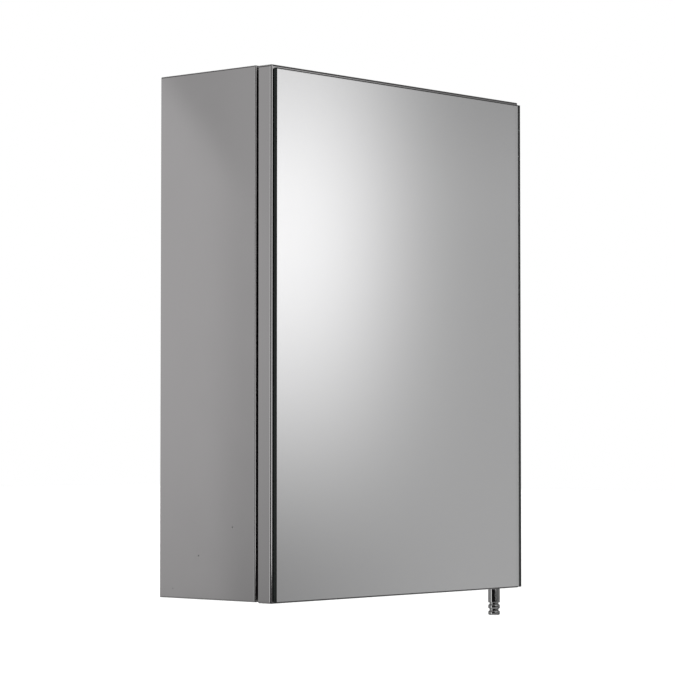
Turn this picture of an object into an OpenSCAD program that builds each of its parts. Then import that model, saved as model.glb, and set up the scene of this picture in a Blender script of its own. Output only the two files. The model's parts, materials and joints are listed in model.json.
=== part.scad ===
// Wall-hung bathroom cabinet in polished stainless steel sheet.
// One mirror door hangs at the left on two concealed cranked hinges, and a turned pull pin hangs under
// its free corner.
//
// Frame: the origin is the centre of the back face, which lies against the wall. +X is to the right as
// seen from the front, +Y goes into the wall and +Z is up, so the mirror faces -Y. Sizes are in mm.

/* [Cabinet body] */
// Width of the cabinet and its door
cab_w = 300; // [260:10:400]
// Height of the cabinet and its door
cab_h = 400; // [380:10:600]
// Depth of the body, without the door
body_d = 100; // [90:5:140]
// Thickness of the folded sheet
sheet_t = 0.8; // [0.6:0.1:1]
// Outer radius of the folds
bend_r = 1.1; // [1:0.1:2]
// Outer radius of the folds round the door's front, which are softer
door_bend_r = 1.6; // [1:0.1:2]
// Width of the inward flange round the front opening
flange_w = 12; // [11:1:14]
// Depth of the return folded back from that flange
return_d = 6; // [4:1:7]

/* [Shelves] */
// Depth of each shelf
shelf_d = 84; // [60:1:84]
// Depth of the turned-down front lip
lip_h = 12; // [10:1:16]
// Leg of the angles that carry the shelves
angle_leg = 12; // [10:1:14]

/* [Door] */
// Gap between the body and the back of the door
door_gap = 2.8; // [2.6:0.1:3.4]
// Depth of the folded door pan
pan_d = 13.4; // [12:0.1:16]
// Distance that the door hangs below the body's own edges
door_drop = 0.6; // [0:0.1:0.8]

/* [Mirror] */
// Thickness of the mirror glass
glass_t = 3; // [3:1:4]
// Thickness of the foam tape behind it
tape_t = 0.8; // [0.8:0.1:1.2]
// Steel showing at each side of the mirror
side_margin = 1.7; // [1:0.1:4]
// Steel showing above the mirror
top_margin = 2.7; // [1:0.1:4]
// Steel showing below the mirror
bottom_margin = 0.9; // [0.5:0.1:4]
// Width of the ground bevel round the front of the glass
arris = 0.5; // [0.3:0.1:1]

/* [Hinges] */
// Height of the two hinges above and below the middle
hinge_z = 140; // [120:1:150]
// Distance from the cabinet's side to the hinge axis
axis_in = 7.5; // [7:0.1:8]
// Distance from the back of the door to the hinge axis
axis_back = 13; // [13:0.1:15]
// Radius of the hinge pins
pin_r = 2; // [1.5:0.1:2.2]
// Height of the cranked arms
arm_h = 24; // [20:1:26]

/* [Pull pin] */
// Radius of the pull pin
pull_r = 4.8; // [4:0.1:6]
// Length of the pull pin below the door
pull_l = 21.5; // [18:0.5:30]
// Distance from the door's right edge to the pull pin
pull_in = 25; // [15:0.5:40]

/* [Wall fixings] */
// Distance between the left and right wall screws
wall_x = 220; // [180:10:240]
// Height of the keyholes above the middle, and of the lower holes below it
wall_z = 160; // [100:5:160]
// Radius of the lower screw holes
wall_hole_r = 2.75; // [2:0.05:3.5]

/* [Hidden] */
$fn = 48;
slack = 0.1;          // space left between nested sheets
cut = 1;              // overshoot of a cutting solid
run_gap = 0.05;       // radial clearance of a pin in its bore

inner_w = cab_w - 2 * sheet_t;
inner_h = cab_h - 2 * sheet_t;
open_w = cab_w - 2 * flange_w;
open_h = cab_h - 2 * flange_w;

door_back = -(body_d + door_gap);
pan_front = door_back - pan_d;
glass_back = pan_front - tape_t;
door_z = -door_drop;
door_bottom = door_z - cab_h / 2;

glass_w = cab_w - 2 * side_margin;
glass_h = cab_h - top_margin - bottom_margin;
glass_z = door_z + (bottom_margin - top_margin) / 2;
strip_w = 19;         // width of each strip of foam tape
strip_in = 3;         // from the edge of the glass to the tape

edge_r = 0.6;         // outer radius rolled on the bare back edges of the wrap and the door
tray_r = 1;           // fold radius of the back panel and the liner
panel_d = 12;         // depth of the back panel's flange
liner_d = 7;          // depth of the liner's flange

key_r = 4.5;          // keyhole: radius of the entry
key_slot_r = 2.6;     // and of the slot's round end
key_l = 10;           // and the distance between them
hanger_t = 1.2;
hanger_size = [36, 34];

// Screws and nuts: radius of the shank, of its hole and of the head, then the head's height
m3 = [1.5, 1.7, 2.9, 1.9];
m4 = [2, 2.25, 3.9, 2.4];
m3_nut = [5.5, 2.4];  // size across the flats and height
m4_nut = [7, 3.2];

// Hinge, with heights from the middle of the hinge
axis_x = -cab_w / 2 + axis_in;
axis_y = door_back + axis_back;
knuckle_r = 4.2;
washer_t = 0.8;
washer_gap = 0.02;
ear_r = 5;
ear_t = 2;
ear_l = 16;           // from the hinge axis to the back end of each ear
ear_z = arm_h / 2 + washer_t + door_drop;   // inner face of each ear
ear_top = ear_z + ear_t;
arm_t = 2.6;
crank_in = 12.4;      // from the hinge axis to the inner face of the crank
crank_out = crank_in + arm_t;
crank_r = 1.5;        // radius of the arm's bends
foot_t = 2;
foot_l = 30;
arm_screw_x = [axis_x + crank_out + 9, axis_x + crank_out + 21];
bracket_t = 1.8;
bracket_h = 50;
bracket_y = [5 - body_d, 44 - body_d];
stud_y = 34 - body_d;
stud_z = 19;
stud_l = 8;
pin_head_r = 3.4;
pin_head_h = 1.7;
pin_tail = 2.2;       // length of the pin below the lower ear
clip_t = 0.6;
notch_h = 2 * ear_top + 2;
notch_x = [-cab_w / 2 + 3.3, -open_w / 2 + cut];
nut_plate_t = 2.5;

// Shelves
shelf_w = inner_w - 2 * (sheet_t + 2 * slack);
shelf_tops = [inner_h / 6, -inner_h / 6];
shelf_back = -3.4;
upstand_h = 8;
angle_t = 1;
angle_y = [shelf_back - shelf_d + 8, shelf_back - 10];
shelf_screw_x = inner_w / 2 - 7.5;
shelf_screw_y = [angle_y[0] + 10, angle_y[1] - 10];

// Magnetic catch
catch_x = open_w / 2 - 11;
catch_w = 14;
catch_h = 34;
catch_back = 16 - body_d;
catch_front = -(body_d + 1);
catch_ears = [52, 3]; // height over the two screw ears, and their thickness
catch_screw_z = 21.5;
web_t = 1.2;
web_h = 56;
magnet = [5.2, 11, 26];
pole_t = 1.45;
pole_out = 0.5;       // the pole plates stand this far out of the housing
strike_t = 0.8;
rivet_z = 11;
rivet_r = 1.55;
buffer_h = 2.4;
buffer_r = 4;
buffer_z = cab_h / 2 - 18;

// Pull pin
pull_x = cab_w / 2 - pull_in;
pull_y = (door_back + pan_front) / 2;
ring_h = 3.6;
groove_h = 1.5;
groove_d = 1.1;
pull_notch = 16;      // width of the notch in the liner that clears the washer and nut

// ---------------------------------------------------------------- shapes

// A box given by its lowest and highest corners.
module span(low, high) {
    translate(low) cube(high - low);
}

// An outline with four round corners, centred.
module round_rect(w, h, r) {
    square([w - 2 * r, h], center = true);
    square([w, h - 2 * r], center = true);
    for (x = [-1, 1], y = [-1, 1])
        translate([x * (w / 2 - r), y * (h / 2 - r)]) circle(r);
}

// An outline from y = 0 down to y = -d, with its two lower corners round.
module round_front(w, d, r) {
    translate([-w / 2, -(d - r)]) square([w, d - r]);
    translate([-(w / 2 - r), -d]) square([w - 2 * r, d]);
    for (x = [-1, 1])
        translate([x * (w / 2 - r), -(d - r)]) circle(r);
}

// The same outline with its two lower corners bevelled by c.
module bevel_front(w, d, c) {
    side = w / 2;
    polygon([[-side, 0], [side, 0], [side, c - d], [side - c, -d], [c - side, -d], [-side, c - d]]);
}

// A block from y = 0 to y = -d whose front and long edges are folds of radius r.
module folded_block(w, h, d, r) {
    intersection() {
        rotate([90, 0, 0]) linear_extrude(d) round_rect(w, h, r);
        translate([0, 0, -h / 2]) linear_extrude(h) round_front(w, d, r);
        rotate([0, 90, 0]) translate([0, 0, -w / 2]) linear_extrude(w) round_front(h, d, r);
    }
}

// The same block with its back edges rolled round instead, to trim a sheet's bare edge.
module rolled_block(w, h, d) {
    translate([0, -d, 0]) mirror([0, 1, 0]) folded_block(w, h, d, edge_r);
}

// A tray folded from sheet, with its face at y = -d and open at y = 0.
module tray(w, h, d, r) {
    difference() {
        folded_block(w, h, d, r);
        translate([0, cut, 0])
            folded_block(w - 2 * sheet_t, h - 2 * sheet_t, d - sheet_t + cut, r - sheet_t);
    }
}

// A rod along +Y, +X or +Z from the origin.
module rod_y(r, l) { rotate([-90, 0, 0]) cylinder(r = r, h = l); }
module rod_x(r, l) { rotate([0, 90, 0]) cylinder(r = r, h = l); }

// A hexagonal nut that stands on z = 0 round the z axis.
module nut(size, bore_r) {
    difference() {
        cylinder(d = size[0] / cos(30), h = size[1], $fn = 6);
        translate([0, 0, -cut]) cylinder(r = bore_r, h = size[1] + 2 * cut);
    }
}

// A cross-slotted pan-head screw whose head stands on z = 0 and whose shank goes l down.
module pan_screw(screw, l) {
    shank_r = screw[0];
    head_r = screw[2];
    head_h = screw[3];
    edge_r = 0.6;
    slot = [head_r, 0.7, 0.9];
    difference() {
        union() {
            rotate_extrude() {
                square([head_r, head_h - edge_r]);
                square([head_r - edge_r, head_h]);
                translate([head_r - edge_r, head_h - edge_r]) intersection() {
                    circle(edge_r);
                    square(edge_r);
                }
            }
            translate([0, 0, -l]) cylinder(r = shank_r, h = l + cut / 2);
        }
        for (a = [0, 90])
            rotate(a) translate([-slot.x / 2, -slot.y / 2, head_h - slot.z]) cube(slot + [0, 0, cut]);
    }
}

// ---------------------------------------------------------------- body

// The wrap: sides, top and bottom folded from one sheet, with the flange and return at the front.
module cabinet_wrap() {
    color([0.62, 0.62, 0.61]) difference() {
        union() {
            difference() {
                intersection() {
                    folded_block(cab_w, cab_h, body_d, bend_r);
                    rolled_block(cab_w, cab_h, body_d);
                }
                translate([0, cut, 0])
                    folded_block(inner_w, inner_h, body_d - sheet_t + cut, bend_r - sheet_t);
            }
            span([-open_w / 2 - sheet_t, -body_d + sheet_t / 2, -open_h / 2 - sheet_t],
                 [open_w / 2 + sheet_t, -body_d + return_d, open_h / 2 + sheet_t]);
        }
        span([-open_w / 2, -body_d - cut, -open_h / 2], [open_w / 2, -body_d + return_d + cut, open_h / 2]);
        for (z = [-hinge_z, hinge_z])
            span([notch_x[0], -body_d - cut, z - notch_h / 2],
                 [notch_x[1], -body_d + return_d + cut, z + notch_h / 2]);
    }
}

// A keyhole that a screw's head enters at the origin and slides up in, drawn in plan.
module keyhole() {
    circle(key_r);
    translate([-key_slot_r, 0]) square([2 * key_slot_r, key_l]);
    translate([0, key_l]) circle(key_slot_r);
}

// The panel is a shallow tray pushed in from behind, with its face against the wall.
module back_panel() {
    color([0.66, 0.66, 0.65]) difference() {
        translate([0, -panel_d, 0]) mirror([0, 1, 0])
            tray(inner_w - 2 * slack, inner_h - 2 * slack, panel_d, tray_r);
        for (x = [-wall_x / 2, wall_x / 2]) {
            translate([x, cut, wall_z]) rotate([90, 0, 0]) linear_extrude(2 * cut + sheet_t) keyhole();
            translate([x, -sheet_t - cut, -wall_z]) rod_y(wall_hole_r, sheet_t + 2 * cut);
        }
    }
}

// Doublers behind the keyholes, which carry the cabinet's weight on the wall screws.
module hanger_plates() {
    color([0.7, 0.7, 0.7]) for (x = [-wall_x / 2, wall_x / 2])
        translate([x, -sheet_t, wall_z]) rotate([90, 0, 0]) linear_extrude(hanger_t) difference() {
            translate([0, key_l * 0.4]) round_rect(hanger_size.x, hanger_size.y, 3);
            keyhole();
        }
}

// ---------------------------------------------------------------- shelves

// A rectangle from x = 0 to h and y = 0 to d whose corner at the origin is round.
module lip_profile(h, d, r) {
    translate([r, 0]) square([h - r, d]);
    translate([0, r]) square([h, d - r]);
    translate([r, r]) circle(r);
}

// The shelf's plate and front lip, from y = 0 forward, with its top at z = 0.
module folded_lip() {
    rotate([0, 90, 0]) translate([0, -shelf_d, -shelf_w / 2]) linear_extrude(shelf_w) difference() {
        lip_profile(lip_h, shelf_d, bend_r);
        translate([sheet_t, sheet_t]) lip_profile(lip_h, shelf_d, bend_r - sheet_t);
    }
}

// A shelf with a turned-down lip in front and a low upstand at the back.
module shelf(top) {
    color([0.68, 0.68, 0.67]) translate([0, 0, top]) difference() {
        union() {
            translate([0, shelf_back, 0]) folded_lip();
            span([-shelf_w / 2, shelf_back - sheet_t, -sheet_t], [shelf_w / 2, shelf_back, upstand_h]);
        }
        for (x = [-shelf_screw_x, shelf_screw_x], y = shelf_screw_y)
            translate([x, y, -sheet_t - cut]) cylinder(r = m3[1], h = sheet_t + 2 * cut);
    }
}

module upper_shelf() { shelf(shelf_tops[0]); }
module lower_shelf() { shelf(shelf_tops[1]); }

// Angles welded to the sides under each shelf.
module shelf_angles() {
    color([0.66, 0.66, 0.65]) for (top = shelf_tops, side = [0, 1])
        mirror([side, 0, 0]) translate([inner_w / 2, 0, top - sheet_t]) difference() {
            union() {
                span([-angle_t, angle_y[0], -angle_leg], [0, angle_y[1], 0]);
                span([-angle_leg, angle_y[0], -angle_t], [0, angle_y[1], 0]);
            }
            for (y = shelf_screw_y)
                translate([shelf_screw_x - inner_w / 2, y, -angle_t - cut])
                    cylinder(r = m3[1], h = angle_t + 2 * cut);
        }
}

module shelf_screws() {
    color([0.75, 0.75, 0.76]) for (top = shelf_tops, x = [-shelf_screw_x, shelf_screw_x], y = shelf_screw_y)
        translate([x, y, top]) pan_screw(m3, 6.5);
}

module shelf_nuts() {
    under = sheet_t + angle_t + m3_nut[1];
    color([0.75, 0.75, 0.76]) for (top = shelf_tops, x = [-shelf_screw_x, shelf_screw_x], y = shelf_screw_y)
        translate([x, y, top - under]) nut(m3_nut, m3[0] + run_gap);
}

// ---------------------------------------------------------------- hinges

// The bracket: a plate on the cabinet's side and two ears that hold the pin.
module hinge_bracket(z) {
    wall = -inner_w / 2;
    color([0.72, 0.72, 0.73]) translate([0, 0, z]) difference() {
        union() {
            span([wall, bracket_y[0], -bracket_h / 2], [wall + bracket_t, bracket_y[1], bracket_h / 2]);
            for (low = [ear_z, -ear_top])
                translate([0, 0, low]) linear_extrude(ear_t) hinge_ear(wall);
        }
        translate([axis_x, axis_y, -bracket_h / 2]) cylinder(r = pin_r + run_gap, h = bracket_h);
        for (dz = [-stud_z, stud_z])
            translate([wall - cut, stud_y, dz]) rod_x(m4[1], bracket_t + 2 * cut);
    }
}

// An ear's outline: round at the pin and at its back corner.
module hinge_ear(wall) {
    back_y = axis_y + ear_l - ear_r;
    translate([wall, axis_y - ear_r]) square([axis_x - wall, ear_l + ear_r]);
    translate([wall, axis_y]) square([axis_x + ear_r - wall, back_y - axis_y]);
    for (y = [axis_y, back_y])
        translate([axis_x, y]) circle(ear_r);
}

module upper_hinge_bracket() { hinge_bracket(hinge_z); }
module lower_hinge_bracket() { hinge_bracket(-hinge_z); }

// A pin with a domed head above the upper ear and a clip groove below the lower one.
module hinge_pin(z) {
    dome_r = 6.6;
    rim_h = 0.8;
    color([0.8, 0.8, 0.82]) translate([axis_x, axis_y, z]) rotate_extrude() difference() {
        union() {
            translate([0, -ear_top - pin_tail]) square([pin_r, 2 * ear_top + pin_tail + rim_h]);
            translate([0, ear_top]) intersection() {
                translate([0, pin_head_h - dome_r]) circle(dome_r);
                square([pin_head_r, dome_r]);
            }
        }
        translate([pin_r - 0.5, -ear_top - 1.1]) square([cut, 0.8]);
    }
}

module upper_hinge_pin() { hinge_pin(hinge_z); }
module lower_hinge_pin() { hinge_pin(-hinge_z); }

// Spring clips in the pins' grooves.
module hinge_pin_clips() {
    color([0.3, 0.3, 0.32]) for (z = [-hinge_z, hinge_z])
        translate([axis_x, axis_y, z - ear_top - 1]) linear_extrude(clip_t) difference() {
            circle(3.6);
            circle(pin_r - 0.45);
            translate([-4, -1.1]) square([4, 2.2]);
        }
}

// Bearing washers between each arm's knuckle and the ears.
module hinge_washers() {
    lows = [-ear_z, arm_h / 2 - door_drop + washer_gap];
    color([0.92, 0.92, 0.9]) for (z = [-hinge_z, hinge_z], low = lows)
        translate([axis_x, axis_y, z + low]) linear_extrude(washer_t - washer_gap) difference() {
            circle(knuckle_r);
            circle(pin_r + run_gap);
        }
}

// The arm in plan, round the hinge axis: a knuckle, a web, a crank past the cabinet's front edge and a
// foot along the back of the door.
module arm_plan() {
    difference() {
        union() {
            circle(knuckle_r);
            translate([0, -arm_t / 2]) square([crank_out - crank_r, arm_t]);
            translate([crank_in, -axis_back]) square([arm_t, axis_back + arm_t / 2 - crank_r]);
            translate([crank_out - crank_r, arm_t / 2 - crank_r]) circle(crank_r);
            translate([crank_in, -axis_back]) square([arm_t + foot_l, foot_t]);
            translate([crank_out, -axis_back + foot_t]) square(crank_r);
        }
        translate([crank_out + crank_r, -axis_back + foot_t + crank_r]) circle(crank_r);
        circle(pin_r + run_gap);
    }
}

module hinge_arm(z) {
    color([0.72, 0.72, 0.73]) translate([axis_x, axis_y, z + door_z]) difference() {
        translate([0, 0, -arm_h / 2]) linear_extrude(arm_h) arm_plan();
        for (x = arm_screw_x)
            translate([x - axis_x, -axis_back - cut, 0]) rod_y(m4[1], foot_t + 2 * cut);
    }
}

module upper_hinge_arm() { hinge_arm(hinge_z); }
module lower_hinge_arm() { hinge_arm(-hinge_z); }

// Threaded studs welded to the inside of the cabinet's left side.
module hinge_studs() {
    color([0.75, 0.7, 0.55]) for (z = [-hinge_z, hinge_z], dz = [-stud_z, stud_z])
        translate([-inner_w / 2, stud_y, z + dz]) rod_x(m4[0], stud_l);
}

module hinge_nuts() {
    color([0.75, 0.75, 0.76]) for (z = [-hinge_z, hinge_z], dz = [-stud_z, stud_z])
        translate([-inner_w / 2 + bracket_t, stud_y, z + dz]) rotate([0, 90, 0]) nut(m4_nut, m4[0] + run_gap);
}

// Screws through each foot and the liner into a plate inside the door.
module hinge_arm_screws() {
    color([0.75, 0.75, 0.76]) for (z = [-hinge_z, hinge_z], x = arm_screw_x)
        translate([x, door_back + foot_t, z + door_z]) rotate([-90, 0, 0]) pan_screw(m4, 7);
}

module hinge_nut_plates() {
    middle = (arm_screw_x[0] + arm_screw_x[1]) / 2;
    color([0.6, 0.6, 0.58]) for (z = [-hinge_z, hinge_z])
        translate([0, door_back - sheet_t - nut_plate_t, z + door_z]) difference() {
            translate([middle, 0, 0]) rotate([-90, 0, 0]) linear_extrude(nut_plate_t) round_rect(34, 26, 2);
            for (x = arm_screw_x)
                translate([x, -cut, 0]) rod_y(m4[0] + run_gap, nut_plate_t + 2 * cut);
        }
}

// ---------------------------------------------------------------- magnetic catch

// An angle welded to the right side, which holds the catch behind the front opening.
module catch_bracket() {
    wall = inner_w / 2;
    color([0.66, 0.66, 0.65]) difference() {
        union() {
            span([wall - web_t, catch_back, -web_h / 2], [wall, catch_back + 24, web_h / 2]);
            span([catch_x - catch_w / 2 - 1, catch_back, -web_h / 2], [wall, catch_back + web_t, web_h / 2]);
        }
        for (z = [-catch_screw_z, catch_screw_z])
            translate([catch_x, catch_back - cut, z]) rod_y(m3[1], web_t + 2 * cut);
    }
}

module catch_housing() {
    pocket_w = magnet.x + 2 * (pole_t + slack / 2);
    pocket_h = magnet.z + 2 * slack;
    color([0.93, 0.93, 0.91]) difference() {
        translate([catch_x, catch_back, 0]) union() {
            folded_block(catch_w, catch_h, catch_back - catch_front, 1);
            rotate([90, 0, 0]) linear_extrude(catch_ears[1]) round_rect(catch_w, catch_ears[0], 3);
        }
        span([catch_x - pocket_w / 2, catch_front - cut, -pocket_h / 2],
             [catch_x + pocket_w / 2, catch_front + magnet.y + 1, pocket_h / 2]);
        for (z = [-catch_screw_z, catch_screw_z])
            translate([catch_x, catch_back - catch_ears[1] - cut, z]) rod_y(m3[1], catch_ears[1] + 2 * cut);
    }
}

module catch_magnet() {
    color([0.2, 0.2, 0.21]) translate([catch_x - magnet.x / 2, catch_front + 1, -magnet.z / 2]) cube(magnet);
}

// Steel plates on both sides of the magnet, which carry its pull to the strike.
module catch_pole_plates() {
    color([0.75, 0.75, 0.76]) for (x = [-magnet.x / 2 - pole_t, magnet.x / 2])
        translate([catch_x + x, catch_front - pole_out, -magnet.z / 2])
            cube([pole_t, magnet.y + 1 + pole_out, magnet.z]);
}

module catch_screws() {
    color([0.75, 0.75, 0.76]) for (z = [-catch_screw_z, catch_screw_z])
        translate([catch_x, catch_back - catch_ears[1], z]) rotate([90, 0, 0]) pan_screw(m3, 8.5);
}

module catch_nuts() {
    color([0.75, 0.75, 0.76]) for (z = [-catch_screw_z, catch_screw_z])
        translate([catch_x, catch_back + web_t, z]) rotate([-90, 0, 0]) nut(m3_nut, m3[0] + run_gap);
}

// Soft domes on the front flange, which quiet the door as it closes.
module door_buffers() {
    dome_r = 5.4;
    color([0.85, 0.87, 0.88]) for (z = [-buffer_z, buffer_z])
        translate([(cab_w - flange_w) / 2, -body_d, z]) rotate([90, 0, 0]) intersection() {
            cylinder(r = buffer_r, h = buffer_h);
            translate([0, 0, buffer_h - dome_r]) sphere(dome_r);
        }
}

// ---------------------------------------------------------------- door

// The pan: the door's front and its four folded sides.
module door_pan() {
    color([0.62, 0.62, 0.61]) difference() {
        translate([0, door_back, door_z]) intersection() {
            tray(cab_w, cab_h, pan_d, door_bend_r);
            rolled_block(cab_w, cab_h, pan_d);
        }
        translate([pull_x, pull_y, door_bottom - cut]) cylinder(r = m4[1], h = sheet_t + 2 * cut);
    }
}

// The liner closes the pan from behind, and the hinges and strike are fixed to it.
module door_liner() {
    color([0.68, 0.68, 0.67]) difference() {
        translate([0, door_back - liner_d, door_z]) mirror([0, 1, 0])
            tray(inner_w - 2 * slack, inner_h - 2 * slack, liner_d, tray_r);
        for (z = [-hinge_z, hinge_z], x = arm_screw_x)
            translate([x, door_back - sheet_t - cut, z + door_z]) rod_y(m4[1], sheet_t + 2 * cut);
        for (z = [-rivet_z, rivet_z])
            translate([catch_x, door_back - sheet_t - cut, z]) rod_y(rivet_r + run_gap, sheet_t + 2 * cut);
        span([pull_x - pull_notch / 2, door_back - liner_d - cut, door_bottom - cut],
             [pull_x + pull_notch / 2, door_back - 2 * sheet_t, door_bottom + 4]);
    }
}

// The mirror: float glass with its edges ground and a small bevel at the front.
module mirror_glass() {
    color([0.75, 0.78, 0.79]) translate([0, glass_back, glass_z]) intersection() {
        translate([0, 0, -glass_h / 2]) linear_extrude(glass_h) bevel_front(glass_w, glass_t, arris);
        rotate([0, 90, 0]) translate([0, 0, -glass_w / 2]) linear_extrude(glass_w)
            bevel_front(glass_h, glass_t, arris);
    }
}

// Four upright strips of foam tape between the pan and the glass.
module mirror_tape() {
    reach = (glass_w - strip_w) / 2 - strip_in;
    strip_l = glass_h - 2 * strip_in;
    color([0.12, 0.12, 0.12]) for (x = [-1, -1 / 3, 1 / 3, 1])
        translate([x * reach - strip_w / 2, glass_back, glass_z - strip_l / 2])
            cube([strip_w, tape_t, strip_l]);
}

// The steel plate that the magnet holds.
module strike_plate() {
    color([0.75, 0.75, 0.76]) difference() {
        translate([catch_x, door_back + strike_t, 0]) rotate([90, 0, 0]) linear_extrude(strike_t)
            round_rect(14, 36, 2);
        for (z = [-rivet_z, rivet_z])
            translate([catch_x, door_back - cut, z]) rod_y(rivet_r + run_gap, strike_t + 2 * cut);
    }
}

// Rivets with their heads inside the door and their ends flush with the strike.
module strike_rivets() {
    rivet_head = [2.6, 0.8];
    color([0.8, 0.8, 0.81]) for (z = [-rivet_z, rivet_z])
        translate([catch_x, door_back - sheet_t, z]) {
            rod_y(rivet_r, sheet_t + strike_t);
            translate([0, -rivet_head[1], 0]) rod_y(rivet_head[0], rivet_head[1]);
        }
}

// Half of a turned ring of the pull pin, from depth below z = 0 down by h, with a round rim.
module turned(depth, h, r) {
    translate([0, -depth - h]) {
        square([pull_r - r, h]);
        translate([0, r]) square([pull_r, h - 2 * r]);
        for (z = [r, h - r])
            translate([pull_r - r, z]) circle(r);
    }
}

// The pull pin: a turned barrel with two grooves near its end and a stud on top.
module pull_pin() {
    barrel = pull_l - 2 * (ring_h + groove_h);
    stud = m4_nut[1] + sheet_t + washer_t + 2;
    color([0.75, 0.75, 0.77]) translate([pull_x, pull_y, door_bottom]) rotate_extrude() {
        translate([0, cut - pull_l]) square([pull_r - groove_d, pull_l - cut]);
        turned(0, barrel, 0.4);
        turned(barrel + groove_h, ring_h, 1.1);
        turned(barrel + 2 * groove_h + ring_h, ring_h, 1.3);
        square([m4[0], stud]);
    }
}

module pull_washer() {
    color([0.75, 0.75, 0.76]) translate([pull_x, pull_y, door_bottom + sheet_t]) linear_extrude(washer_t)
        difference() {
            circle(4.5);
            circle(m4[1]);
        }
}

module pull_nut() {
    color([0.75, 0.75, 0.76]) translate([pull_x, pull_y, door_bottom + sheet_t + washer_t])
        nut(m4_nut, m4[0] + run_gap);
}

// ---------------------------------------------------------------- nodes

cabinet_wrap();
back_panel();
hanger_plates();
upper_shelf();
lower_shelf();
shelf_angles();
shelf_screws();
shelf_nuts();
upper_hinge_bracket();
lower_hinge_bracket();
upper_hinge_pin();
lower_hinge_pin();
hinge_pin_clips();
hinge_washers();
hinge_studs();
hinge_nuts();
catch_bracket();
catch_housing();
catch_magnet();
catch_pole_plates();
catch_screws();
catch_nuts();
door_buffers();
door_pan();
door_liner();
mirror_glass();
mirror_tape();
upper_hinge_arm();
lower_hinge_arm();
hinge_arm_screws();
hinge_nut_plates();
strike_plate();
strike_rivets();
pull_pin();
pull_washer();
pull_nut();
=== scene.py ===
"""Looks for a wall-hung mirror cabinet in polished steel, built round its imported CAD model.

Metres, in the CAD's frame: the origin is the centre of the back face, +X is right seen from the front,
+Y goes into the wall and +Z is up.
"""

import json
import math

import bmesh
import bpy
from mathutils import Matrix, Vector


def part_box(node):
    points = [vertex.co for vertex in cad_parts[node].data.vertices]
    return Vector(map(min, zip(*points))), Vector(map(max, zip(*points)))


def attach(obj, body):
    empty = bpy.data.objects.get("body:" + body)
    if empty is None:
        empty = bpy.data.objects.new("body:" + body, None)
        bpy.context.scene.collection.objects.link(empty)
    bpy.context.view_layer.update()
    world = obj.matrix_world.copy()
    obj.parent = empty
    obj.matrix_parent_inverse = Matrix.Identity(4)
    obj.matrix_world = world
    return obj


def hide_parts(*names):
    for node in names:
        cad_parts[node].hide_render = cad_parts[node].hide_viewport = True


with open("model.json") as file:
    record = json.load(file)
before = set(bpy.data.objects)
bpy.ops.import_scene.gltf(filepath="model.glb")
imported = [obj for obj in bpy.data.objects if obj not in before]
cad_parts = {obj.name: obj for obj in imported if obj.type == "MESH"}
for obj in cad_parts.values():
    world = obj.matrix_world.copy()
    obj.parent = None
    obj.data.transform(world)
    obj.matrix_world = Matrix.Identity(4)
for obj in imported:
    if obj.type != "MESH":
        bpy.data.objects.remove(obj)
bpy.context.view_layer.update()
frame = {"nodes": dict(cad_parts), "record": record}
nodes = frame["nodes"]
MM = 0.001


# ---------------------------------------------------------------- node helpers


class Tree:
    """Short calls for building a node tree."""

    def __init__(self, owner):
        owner.use_nodes = True
        self.tree = owner.node_tree
        self.tree.nodes.clear()

    def node(self, kind, **settings):
        made = self.tree.nodes.new(kind)
        for key, value in settings.items():
            setattr(made, key, value)
        return made

    def feed(self, value, socket):
        """Links a socket, or sets a plain value."""
        if isinstance(value, bpy.types.NodeSocket):
            self.tree.links.new(value, socket)
        else:
            socket.default_value = value

    def math(self, operation, *values):
        made = self.node("ShaderNodeMath", operation=operation)
        for value, socket in zip(values, made.inputs):
            self.feed(value, socket)
        return made.outputs[0]

    def ramp(self, value, low, high, start=0.0, end=1.0):
        """Maps value from low..high smoothly to start..end, held at both ends."""
        made = self.node("ShaderNodeMapRange", interpolation_type="SMOOTHSTEP")
        self.feed(value, made.inputs["Value"])
        for name, given in (("From Min", low), ("From Max", high), ("To Min", start), ("To Max", end)):
            self.feed(given, made.inputs[name])
        return made.outputs[0]

    def bell(self, value, centre, width):
        """exp(-((value - centre) / width) ** 2)"""
        offset = self.math("DIVIDE", self.math("SUBTRACT", value, centre), width)
        return self.math("EXPONENT", self.math("MULTIPLY", self.math("MULTIPLY", offset, offset), -1.0))

    def mix(self, factor, first, second):
        made = self.node("ShaderNodeMix", data_type="RGBA")
        self.feed(factor, made.inputs[0])
        self.feed(first, made.inputs[6])
        self.feed(second, made.inputs[7])
        return made.outputs[2]

    def noise(self, vector, scale, detail=2.0, roughness=0.5, distortion=0.0):
        made = self.node("ShaderNodeTexNoise")
        self.feed(vector, made.inputs["Vector"])
        made.inputs["Scale"].default_value = scale
        made.inputs["Detail"].default_value = detail
        made.inputs["Roughness"].default_value = roughness
        made.inputs["Distortion"].default_value = distortion
        return made.outputs["Fac"]

    def stretched(self, vector, scale):
        made = self.node("ShaderNodeMapping")
        self.feed(vector, made.inputs["Vector"])
        made.inputs["Scale"].default_value = scale
        return made.outputs[0]

    def bump(self, height, distance, normal=None):
        made = self.node("ShaderNodeBump")
        made.inputs["Distance"].default_value = distance
        made.inputs["Strength"].default_value = 1.0
        self.feed(height, made.inputs["Height"])
        if normal is not None:
            self.feed(normal, made.inputs["Normal"])
        return made.outputs[0]


# ---------------------------------------------------------------- studio

VIEW_AZIMUTH = 48.64   # degrees from +Y towards +X that the camera looks along
VIEW_RISE = 2.29       # degrees that the camera looks up
CAMERA_AT = (-1.5829, -1.4429, -0.0821)
CAMERA_LENS = 140.9    # mm, on a sensor 36 mm wide
SENSOR = 36.0
FLOOR_Z = -1.0
FLOOR_REACH = 40.0
PALE = (1.0, 1.0, 1.0, 1.0)

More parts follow.
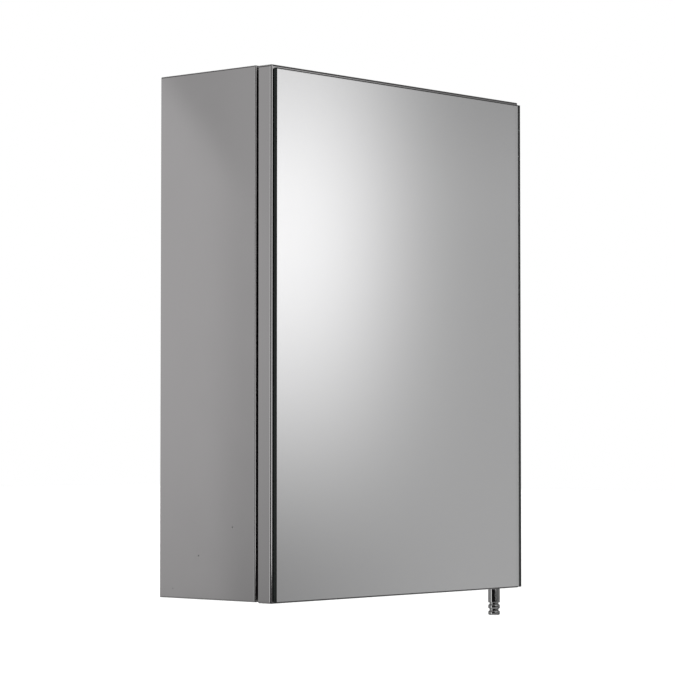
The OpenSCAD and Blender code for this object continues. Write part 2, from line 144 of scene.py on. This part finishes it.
# The studio's scrims. Angles are in degrees, azimuths from +Y towards +X.
LEFT_TONE = 0.56
LEFT_LEAST = 0.05
OUTER_EDGE = (-46.71, -45.73)   # where the left scrim's darker outer part ends
OUTER_DROP = 0.082
FLAG_HINGE = -45.0              # azimuth that the flag's slanting edge is measured from
FLAG_SLOPE = -1.394             # degrees of rise for each degree across
FLAG_EDGE = (7.03, 8.37)
FLAG_DROP = 0.145
FLAG_HIDDEN = 0.86              # share of the flag that doesn't show on the outer part
FOOT_RISE = 5.11                # the scrim darkens below this, with the square of the distance
FOOT_DROP = 0.00167
OUTER_FOOT_DROP = 0.00046

RIGHT_TONE = 0.372
INNER_FROM, INNER_SOFT = 128.0, 6.0
RIGHT_FOOT = (-3.5, 1.5)
RIGHT_FOOT_DROP = 0.15
RIGHT_HEAD = (5.0, 8.5)
RIGHT_HEAD_DROP = 0.072

LAMP_AT = (133.0, 4.58)         # azimuth and rise
LAMP_TONE = 0.605
LAMP_INNER, LAMP_POWER = 2.95, 2.71   # width and steepness of its fall towards the left
LAMP_OUTER = (12.0, 22.0)
LAMP_ABOVE, LAMP_BELOW = 5.85, 4.49


def direction(azimuth, elevation):
    a, e = math.radians(azimuth), math.radians(elevation)
    return Vector((math.sin(a) * math.cos(e), math.cos(a) * math.cos(e), math.sin(e)))


def make_camera():
    camera = bpy.data.objects.new("camera", bpy.data.cameras.new("camera"))
    camera.location = CAMERA_AT
    camera.rotation_euler = direction(VIEW_AZIMUTH, VIEW_RISE).to_track_quat("-Z", "Y").to_euler()
    camera.data.lens = CAMERA_LENS
    camera.data.sensor_width = SENSOR
    bpy.context.scene.collection.objects.link(camera)
    bpy.context.scene.camera = camera


def make_world():
    """A studio seen by reflections: a scrim at the left back, another at the right front with a lamp
    behind it, two strip lights and dark drapes round the camera. The camera itself sees pale paper."""
    world = bpy.data.worlds.new("studio")
    bpy.context.scene.world = world
    t = Tree(world)
    ray = t.node("ShaderNodeTexCoord").outputs["Generated"]
    split = t.node("ShaderNodeSeparateXYZ")
    t.feed(ray, split.inputs[0])
    x, y, z = split.outputs
    to_degrees = 180.0 / math.pi
    azimuth = t.math("MULTIPLY", t.math("ARCTAN2", x, y), to_degrees)
    rise = t.math("MULTIPLY", t.math("ARCSINE", z), to_degrees)

    def turned_from(centre):
        return t.math("WRAP", t.math("SUBTRACT", azimuth, centre), 180.0, -180.0)

    def panel(centre, half, soft, low, high, soft_low, soft_high):
        """A soft-edged scrim: 1 inside half a width from centre and between two elevations."""
        across = t.ramp(t.math("ABSOLUTE", turned_from(centre)), half, half + soft, 1.0, 0.0)
        above = t.ramp(rise, low - soft_low, low)
        below = t.ramp(rise, high, high + soft_high, 1.0, 0.0)
        return t.math("MULTIPLY", across, t.math("MULTIPLY", above, below))

    def less(tone, *factors):
        """The tone less the product of the factors."""
        drop = factors[0]
        for factor in factors[1:]:
            drop = t.math("MULTIPLY", drop, factor)
        return t.math("SUBTRACT", tone, drop)

    # The left scrim, with the corner of a darker flag across it and a darker foot.
    outer = t.ramp(azimuth, *OUTER_EDGE, 1.0, 0.0)
    flag_rise = t.math("ADD", rise, t.math("MULTIPLY", turned_from(FLAG_HINGE), FLAG_SLOPE))
    flag = t.ramp(flag_rise, *FLAG_EDGE)
    foot = t.math("POWER", t.math("MINIMUM", t.math("SUBTRACT", rise, FOOT_RISE), 0.0), 2.0)
    left_tone = less(LEFT_TONE, outer, OUTER_DROP)
    flag_shown = t.math("SUBTRACT", 1.0, t.math("MULTIPLY", outer, FLAG_HIDDEN))
    left_tone = less(left_tone, flag, FLAG_DROP, flag_shown)
    left_tone = less(left_tone, foot, t.math("ADD", FOOT_DROP, t.math("MULTIPLY", outer, OUTER_FOOT_DROP)))
    left_tone = t.math("MAXIMUM", left_tone, LEFT_LEAST)

    # The right scrim, darker high up and low down.
    inner = t.ramp(turned_from(INNER_FROM), 0.0, INNER_SOFT)
    right_tone = less(RIGHT_TONE, t.ramp(rise, *RIGHT_FOOT, 1.0, 0.0), inner, RIGHT_FOOT_DROP)
    right_tone = less(right_tone, t.ramp(rise, *RIGHT_HEAD), RIGHT_HEAD_DROP)

    # The lamp behind it.
    lamp_across = turned_from(LAMP_AT[0])
    lamp_rise = t.math("SUBTRACT", rise, LAMP_AT[1])
    inward = t.math("DIVIDE", t.math("MAXIMUM", t.math("MULTIPLY", lamp_across, -1.0), 0.0), LAMP_INNER)
    fall = t.math("MULTIPLY", t.math("POWER", inward, LAMP_POWER), -1.0)
    lamp = t.math("MULTIPLY", t.math("EXPONENT", fall), t.ramp(lamp_across, *LAMP_OUTER, 1.0, 0.0))
    lamp = t.math("MULTIPLY", lamp, t.bell(t.math("MAXIMUM", lamp_rise, 0.0), 0.0, LAMP_ABOVE))
    lamp = t.math("MULTIPLY", lamp, t.bell(t.math("MINIMUM", lamp_rise, 0.0), 0.0, LAMP_BELOW))

    # The room, lighter overhead and underfoot, then each panel laid over it in turn, with its tone.
    light = t.math("ADD", t.ramp(rise, 10.0, 34.0, 0.06, 0.80), t.ramp(rise, -8.0, -4.0, 0.50, 0.0))
    right_drape = panel(98.0, 34.0, 10.0, -50.0, 50.0, 12.0, 12.0)
    camera_drape = panel(-128.0, 36.0, 8.0, -8.0, 36.0, 3.0, 12.0)
    back_low = panel(-10.0, 62.0, 10.0, -50.0, 14.0, 12.0, 4.0)
    back_high = panel(-10.0, 62.0, 10.0, 14.0, 40.0, 4.0, 12.0)
    back_paper = panel(45.0, 30.0, 14.0, -2.5, 8.0, 2.0, 8.0)
    left_scrim = panel(-42.0, 36.0, 6.0, -3.4, 10.0, 0.4, 5.0)
    left_strip = panel(-72.0, 5.0, 4.0, -45.0, 14.0, 8.0, 12.0)
    right_scrim = panel(136.0, 46.0, 6.0, -3.5, 9.0, 0.3, 5.0)
    front_strip = panel(199.0, 13.0, 3.0, -2.6, 24.0, 0.5, 8.0)
    for cover, tone in ((right_drape, 0.10), (camera_drape, 0.012), (back_low, 0.27), (back_high, 0.09),
                        (back_paper, 0.14), (left_scrim, left_tone), (left_strip, 1.5),
                        (right_scrim, right_tone), (front_strip, 1.1)):
        light = t.math("ADD", t.math("MULTIPLY", light, t.math("SUBTRACT", 1.0, cover)),
                       t.math("MULTIPLY", cover, tone))
    light = t.math("ADD", light, t.math("MULTIPLY", lamp, LAMP_TONE))
    seen = t.node("ShaderNodeLightPath").outputs["Is Camera Ray"]
    studio = t.node("ShaderNodeBackground")
    studio.inputs["Color"].default_value = (1.0, 1.0, 1.0, 1.0)
    t.feed(light, studio.inputs["Strength"])
    backdrop = t.node("ShaderNodeBackground")
    backdrop.inputs["Color"].default_value = PALE
    either = t.node("ShaderNodeMixShader")
    t.feed(seen, either.inputs[0])
    t.feed(studio.outputs[0], either.inputs[1])
    t.feed(backdrop.outputs[0], either.inputs[2])
    t.feed(either.outputs[0], t.node("ShaderNodeOutputWorld").inputs[0])


def make_lights():
    """A broad soft sun for what isn't polished. Polished steel takes its light from the studio."""
    sun = bpy.data.objects.new("soft_sun", bpy.data.lights.new("soft_sun", "SUN"))
    sun.data.energy = 3.1
    sun.data.angle = math.radians(35.0)
    sun.visible_glossy = False
    sun.rotation_euler = direction(160.0, 58.0).to_track_quat("Z", "Y").to_euler()
    bpy.context.scene.collection.objects.link(sun)


def make_floor():
    """A wide pale floor that only the camera sees, so that it isn't in the reflections."""
    mesh = bpy.data.meshes.new("floor")
    corners = [(x * FLOOR_REACH, y * FLOOR_REACH, FLOOR_Z) for x, y in ((-1, -1), (1, -1), (1, 1), (-1, 1))]
    mesh.from_pydata(corners, [], [(0, 1, 2, 3)])
    floor = bpy.data.objects.new("floor", mesh)
    bpy.context.scene.collection.objects.link(floor)
    floor.visible_glossy = False
    floor.visible_transmission = False
    material = bpy.data.materials.new("pale_floor")
    t = Tree(material)
    shader = t.node("ShaderNodeBsdfPrincipled")
    shader.inputs["Base Color"].default_value = (0.92, 0.92, 0.92, 1.0)
    shader.inputs["Roughness"].default_value = 0.9
    t.feed(shader.outputs[0], t.node("ShaderNodeOutputMaterial").inputs[0])
    mesh.materials.append(material)


# ---------------------------------------------------------------- materials


def principled(name):
    """A new material with its tree, its shader and the object's own coordinates."""
    material = bpy.data.materials.new(name)
    t = Tree(material)
    shader = t.node("ShaderNodeBsdfPrincipled")
    t.feed(shader.outputs[0], t.node("ShaderNodeOutputMaterial").inputs[0])
    place = t.node("ShaderNodeTexCoord").outputs["Object"]
    return material, t, shader, place


def grey(value, warm=0.0):
    return (value * (1.0 + warm), value, value * (1.0 - warm), 1.0)


def polished_sheet():
    """Bright-polished stainless sheet: nearly a mirror, with faint polishing lines, haze and pits."""
    material, t, shader, place = principled("polished_sheet")
    shader.inputs["Metallic"].default_value = 1.0
    lines = t.noise(t.stretched(place, (900.0, 900.0, 25.0)), 1.0, 3.0, 0.6)
    haze = t.noise(place, 22.0, 4.0, 0.55)
    cloud = t.noise(place, 7.0, 2.0)
    pits = t.node("ShaderNodeTexVoronoi")
    t.feed(place, pits.inputs["Vector"])
    pits.inputs["Scale"].default_value = 26.0
    pit = t.ramp(pits.outputs["Distance"], 0.018, 0.03, 1.0, 0.0)
    tone = t.mix(cloud, (0.590, 0.575, 0.577, 1.0), (0.631, 0.618, 0.622, 1.0))
    tone = t.mix(t.math("MULTIPLY", lines, 0.10), tone, grey(0.52))
    tone = t.mix(t.math("MULTIPLY", pit, 0.55), tone, grey(0.25))
    t.feed(tone, shader.inputs["Base Color"])
    rough = t.ramp(haze, 0.35, 0.7, 0.03, 0.055)
    rough = t.math("ADD", rough, t.math("MULTIPLY", lines, 0.015))
    t.feed(t.math("ADD", rough, t.math("MULTIPLY", pit, 0.3)), shader.inputs["Roughness"])
    grain = t.bump(lines, 0.0000012)
    t.feed(t.bump(pit, -0.00004, normal=grain), shader.inputs["Normal"])
    return material


def inner_sheet():
    """Plain mill-finish stainless sheet: soft and slightly rolled."""
    material, t, shader, place = principled("inner_sheet")
    shader.inputs["Metallic"].default_value = 1.0
    rolled = t.noise(t.stretched(place, (12.0, 120.0, 160.0)), 1.0, 2.0, 0.5)
    smear = t.noise(place, 14.0, 4.0, 0.6, 0.6)
    tone = t.mix(smear, grey(0.60, 0.01), grey(0.70, 0.004))
    t.feed(t.mix(t.math("MULTIPLY", rolled, 0.16), tone, grey(0.48)), shader.inputs["Base Color"])
    t.feed(t.math("ADD", t.ramp(smear, 0.3, 0.75, 0.25, 0.33), t.math("MULTIPLY", rolled, 0.07)),
           shader.inputs["Roughness"])
    t.feed(t.bump(rolled, 0.000004), shader.inputs["Normal"])
    return material


def plain_metal(name, tone, roughness, spread=0.08, scale=180.0, warm=0.0, grain=0.00001):
    """A metal with fine mottling, for brackets and fasteners."""
    material, t, shader, place = principled(name)
    shader.inputs["Metallic"].default_value = 1.0
    mottle = t.noise(place, scale, 4.0, 0.6)
    broad = t.noise(place, scale / 8.0, 2.0)
    t.feed(t.mix(broad, grey(tone * 0.88, warm), grey(tone * 1.06, warm)), shader.inputs["Base Color"])
    t.feed(t.ramp(mottle, 0.3, 0.7, roughness - spread / 2, roughness + spread), shader.inputs["Roughness"])
    t.feed(t.bump(mottle, grain), shader.inputs["Normal"])
    return material


def turned_steel():
    """Turned and polished steel, with rings of fine tool marks round an upright axis."""
    material, t, shader, place = principled("turned_steel")
    shader.inputs["Metallic"].default_value = 1.0
    rings = t.noise(t.stretched(place, (30.0, 30.0, 9000.0)), 1.0, 2.0, 0.6)
    t.feed(t.mix(rings, grey(0.40), grey(0.50)), shader.inputs["Base Color"])
    t.feed(t.ramp(rings, 0.3, 0.7, 0.04, 0.08), shader.inputs["Roughness"])
    t.feed(t.bump(rings, 0.0000015), shader.inputs["Normal"])
    return material


def moulded(name, colour, roughness, subsurface=0.0, grain=0.00002):
    """Moulded plastic or rubber with a fine spark-eroded grain."""
    material, t, shader, place = principled(name)
    speck = t.noise(place, 1500.0, 3.0, 0.6)
    cloud = t.noise(place, 60.0, 2.0)
    dark = tuple(c * 0.93 for c in colour) + (1.0,)
    t.feed(t.mix(cloud, dark, tuple(colour) + (1.0,)), shader.inputs["Base Color"])
    t.feed(t.ramp(speck, 0.3, 0.7, roughness - 0.05, roughness + 0.07), shader.inputs["Roughness"])
    shader.inputs["Subsurface Weight"].default_value = subsurface
    shader.inputs["Subsurface Scale"].default_value = 0.002
    t.feed(t.bump(speck, grain), shader.inputs["Normal"])
    return material


def foam():
    """Black closed-cell foam tape."""
    material, t, shader, place = principled("foam_tape")
    cells = t.node("ShaderNodeTexVoronoi")
    t.feed(place, cells.inputs["Vector"])
    cells.inputs["Scale"].default_value = 2600.0
    t.feed(t.mix(cells.outputs["Distance"], grey(0.008), grey(0.025)), shader.inputs["Base Color"])
    t.feed(t.ramp(cells.outputs["Distance"], 0.0, 0.8, 0.95, 0.75), shader.inputs["Roughness"])
    t.feed(t.bump(cells.outputs["Distance"], 0.0001), shader.inputs["Normal"])
    return material


def clear_glass():
    """The front of the mirror: float glass, clean but for a very faint film."""
    material, t, shader, place = principled("mirror_glass_front")
    film = t.noise(place, 9.0, 4.0, 0.6, 0.8)
    shader.inputs["Base Color"].default_value = (0.99, 0.99, 0.99, 1.0)
    shader.inputs["Transmission Weight"].default_value = 1.0
    shader.inputs["IOR"].default_value = 1.52
    t.feed(t.ramp(film, 0.5, 0.8, 0.0, 0.012), shader.inputs["Roughness"])
    return material


def silver():
    """The back of the glass, where the silver is."""
    material, t, shader, place = principled("mirror_silver")
    shader.inputs["Metallic"].default_value = 1.0
    depth = t.noise(place, 5.0, 2.0)
    t.feed(t.mix(depth, (0.950, 0.948, 0.955, 1.0), (0.962, 0.960, 0.966, 1.0)), shader.inputs["Base Color"])
    t.feed(t.ramp(depth, 0.2, 0.8, 0.008, 0.014), shader.inputs["Roughness"])
    return material


def ground_edge_painted_shade():
    """The ground edge of the glass, coloured near-black: painted shade for the dark look the edge has seen
    through the glass, over a faint green tint of its own.
    """
    material, t, shader, place = principled("mirror_ground_edge")
    wheel = t.noise(t.stretched(place, (2500.0, 2500.0, 300.0)), 1.0, 3.0, 0.7)
    # painted shade: a near-black base colour stands in for the dark the edge shows through the glass
    t.feed(t.mix(wheel, (0.008, 0.011, 0.010, 1.0), (0.020, 0.025, 0.023, 1.0)), shader.inputs["Base Color"])
    t.feed(t.ramp(wheel, 0.3, 0.7, 0.22, 0.38), shader.inputs["Roughness"])
    shader.inputs["Specular IOR Level"].default_value = 0.2
    t.feed(t.bump(wheel, 0.000008), shader.inputs["Normal"])
    return material


# ---------------------------------------------------------------- pieces


def piece_from(mesh, name, body, node, materials):
    """Puts a new mesh in the scene in place of a CAD node."""
    piece = bpy.data.objects.new(name, mesh)
    bpy.context.scene.collection.objects.link(piece)
    for material in materials:
        mesh.materials.append(material)
    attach(piece, body)
    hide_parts(node)


def make_mirror():
    """The mirror as one closed slab with a bevelled front: clear front, ground edges, silver back."""
    low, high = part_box("mirror_glass")
    off_tape = 0.03 * MM
    front, back = low[1], high[1] - off_tape
    arris = 0.35 * MM
    bm = bmesh.new()

    def ring(inset, y):
        left, right = low[0] + inset, high[0] - inset
        bottom, top = low[2] + inset, high[2] - inset
        corners = ((left, bottom), (right, bottom), (right, top), (left, top))
        return [bm.verts.new((x, y, z)) for x, z in corners]

    rings = [ring(0.0, back), ring(0.0, front + arris), ring(arris, front)]
    clear, ground, silvered = 0, 1, 2
    for first, second, slot in ((rings[0], rings[1], ground), (rings[1], rings[2], clear)):
        for i in range(4):
            j = (i + 1) % 4
            bm.faces.new((first[i], first[j], second[j], second[i])).material_index = slot
    bm.faces.new(rings[2]).material_index = clear
    bm.faces.new(list(reversed(rings[0]))).material_index = silvered
    bmesh.ops.recalc_face_normals(bm, faces=bm.faces)
    mesh = bpy.data.meshes.new("mirror")
    bm.to_mesh(mesh)
    bm.free()
    piece_from(mesh, "mirror", "door", "mirror_glass",
               [clear_glass(), ground_edge_painted_shade(), silver()])


WELD = 0.001 * MM   # vertices closer than this are one


def islands(node):
    """The low and high corners of each separate solid of a node."""
    mesh = nodes[node].data
    place = nodes[node].matrix_world
    bm = bmesh.new()
    bm.from_mesh(mesh)
    bm.transform(place)
    bmesh.ops.remove_doubles(bm, verts=bm.verts, dist=WELD)
    left = set(bm.verts)
    boxes = []
    while left:
        found, waiting = set(), [left.pop()]
        while waiting:
            vert = waiting.pop()
            found.add(vert)
            for edge in vert.link_edges:
                other = edge.other_vert(vert)
                if other in left:
                    left.remove(other)
                    waiting.append(other)
        boxes.append(tuple(Vector([pick(v.co[i] for v in found) for i in range(3)]) for pick in (min, max)))
    bm.free()
    return sorted(boxes, key=lambda box: tuple(box[0]))


def make_hinge_studs():
    """The weld studs, with a rolled thread, a plain root and a chamfered end. They point along +X."""
    sides, steps = 28, 10          # round the thread, and along each turn
    pitch, depth = 0.7 * MM, 0.36 * MM
    steepness, crest = 2.6, 0.15   # of the thread's flanks, and how flat its top is
    root, chamfer = 0.9 * MM, 0.45 * MM
    bm = bmesh.new()
    for low, high in islands("hinge_studs"):
        radius = (high[2] - low[2]) / 2
        middle = (low + high) / 2
        length = high[0] - low[0]
        count = round(length / pitch * steps)
        rings = []
        for i in range(count + 1):
            along = length * i / count
            into_root = min(max((along - root) / pitch, 0.0), 1.0)
            from_end = max(0.0, chamfer - (length - along))
            ring = []
            for j in range(sides):
                phase = (along / pitch - j / sides) % 1.0
                flank = min(max(abs(phase - 0.5) * steepness - crest, 0.0), 1.0)
                r = min(radius - depth * flank * into_root, radius - from_end)
                angle = math.tau * j / sides
                ring.append(bm.verts.new((low[0] + along, middle[1] + r * math.cos(angle),
                                          middle[2] + r * math.sin(angle))))
            rings.append(ring)
        for first, second in zip(rings, rings[1:]):
            for j in range(sides):
                k = (j + 1) % sides
                bm.faces.new((first[j], first[k], second[k], second[j])).smooth = True
        bm.faces.new(rings[0])
        bm.faces.new(rings[-1])
    bmesh.ops.recalc_face_normals(bm, faces=bm.faces)
    mesh = bpy.data.meshes.new("hinge_studs_threaded")
    bm.to_mesh(mesh)
    bm.free()
    piece_from(mesh, "hinge_studs_threaded", "cabinet", "hinge_studs", [FINISHES["weld_stud"]])


SHEETS = ("cabinet_wrap", "back_panel", "hanger_plates", "upper_shelf", "lower_shelf", "door_pan",
          "door_liner")
PRESSINGS = ("shelf_angles", "upper_hinge_bracket", "lower_hinge_bracket", "upper_hinge_arm",
             "lower_hinge_arm", "hinge_nut_plates", "strike_plate", "catch_bracket", "catch_housing",
             "catch_pole_plates", "pull_pin")
SHEET_EDGE = 0.12 * MM
PRESSED_EDGE = 0.18 * MM
SHARP = math.radians(40.0)


def soften_edges():
    """Breaks the sharp edges left on sheet, pressings and moulded pieces."""
    for names, width in ((SHEETS, SHEET_EDGE), (PRESSINGS, PRESSED_EDGE)):
        for name in names:
            bevel = nodes[name].modifiers.new("broken_edges", "BEVEL")
            bevel.width = width
            bevel.segments = 2
            bevel.limit_method = "ANGLE"
            bevel.angle_limit = SHARP
            bevel.use_clamp_overlap = True


# ---------------------------------------------------------------- build

bpy.context.scene.view_settings.view_transform = "Standard"
make_camera()
make_world()
make_lights()
make_floor()

FINISHES = {
    "polished_sheet": polished_sheet(),
    "inner_sheet": inner_sheet(),
    "pressed_steel": plain_metal("pressed_steel", 0.6, 0.3, warm=0.01),
    "zinc_hardware": plain_metal("zinc_hardware", 0.66, 0.22, warm=-0.012),
    "weld_stud": plain_metal("weld_stud", 0.5, 0.35, warm=0.22),
    "spring_steel": plain_metal("spring_steel", 0.09, 0.38),
    "bearing_plastic": moulded("bearing_plastic", (0.60, 0.60, 0.575), 0.45, 0.2),
    "catch_plastic": moulded("catch_plastic", (0.58, 0.58, 0.56), 0.32, 0.15),
    "ferrite": moulded("ferrite", (0.035, 0.035, 0.037), 0.5, grain=0.00006),
    "buffer_rubber": moulded("buffer_rubber", (0.55, 0.57, 0.58), 0.35, 0.5),
    "foam_tape": foam(),
    "turned_steel": turned_steel(),
}
for part in frame["record"]["subparts"]:
    finish = FINISHES.get(part["material_slot"])
    if finish is not None:
        for slot in nodes[part["node"]].material_slots:
            slot.material = finish
make_mirror()
make_hinge_studs()
soften_edges()
